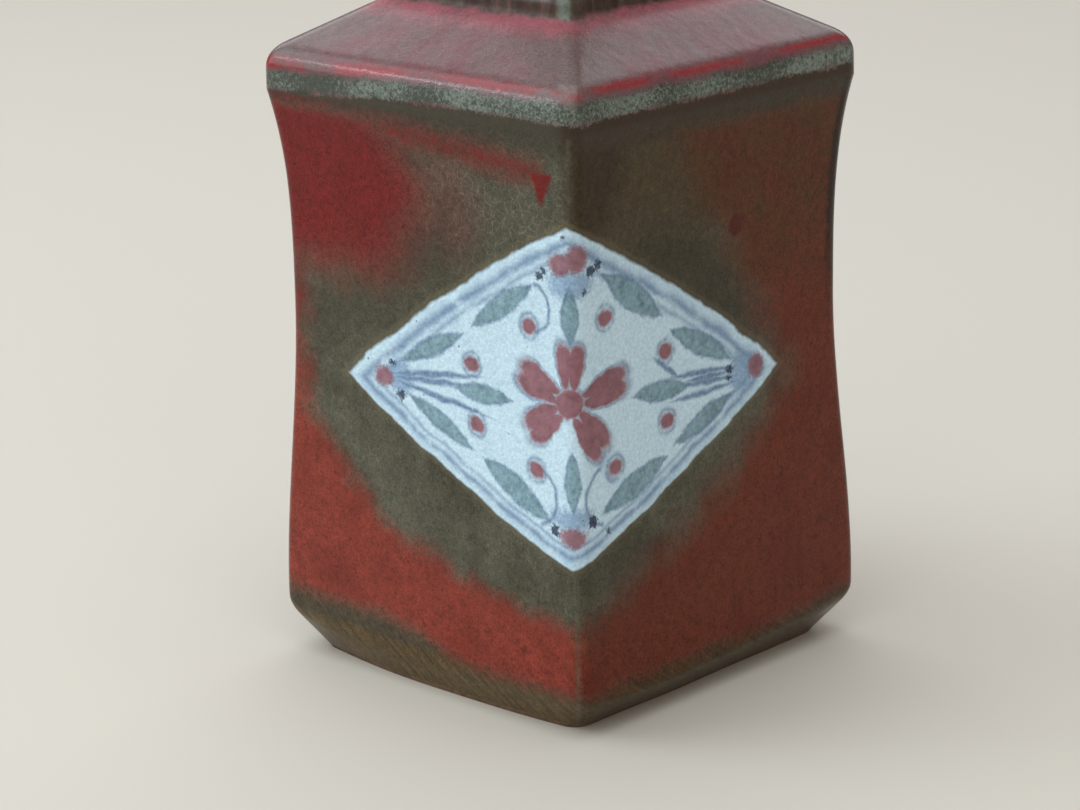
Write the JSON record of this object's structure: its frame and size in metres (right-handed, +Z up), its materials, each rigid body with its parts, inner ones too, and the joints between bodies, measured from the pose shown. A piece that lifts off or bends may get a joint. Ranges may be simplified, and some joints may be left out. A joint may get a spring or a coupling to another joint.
{
  "type": "sake bottle",
  "caption": "Square waisted ceramic sake bottle with a sloping shoulder, a square neck, a painted diamond panel over a corner and a lift-off stopper with a turned wooden knob.",
  "frame": {"origin": "centre of the foot, on the surface that the bottle stands on", "axes": "+Z up along the bottle's axis; the four walls face +X, -X, +Y and -Y, and the corner that carries the panel points to +X -Y"},
  "size_m": [0.07, 0.07, 0.1661],
  "materials": {
    "glaze": "glossy copper-red glaze breaking to olive brown",
    "shoulder_glaze": "glossy mauve-red glaze, pale grey-green along the edge",
    "neck_glaze": "glossy dark brown glaze with fine streaks",
    "foot_glaze": "glossy thin olive-brown glaze",
    "bare_clay": "unglazed fired clay",
    "cork": "matt cork",
    "stopper_wood": "turned and oiled wood",
    "pin_wood": "plain dowel"
  },
  "bodies": {
    "bottle": {"front_wall": "glaze", "right_wall": "glaze", "back_wall": "glaze", "left_wall": "glaze", "base_slab": "foot_glaze", "foot_ring": "bare_clay", "shoulder": "shoulder_glaze", "neck": "neck_glaze", "mouth_rim": "neck_glaze"},
    "stopper": {"stopper_cork": "cork", "stopper_knob": "stopper_wood", "stopper_pin": "pin_wood"}
  },
  "joints": [
    {"name": "stopper_lift", "type": "slide", "parent": "bottle", "child": "stopper", "axis": [0, 0, 1], "range_m": [0, 0.04]}
  ]
}
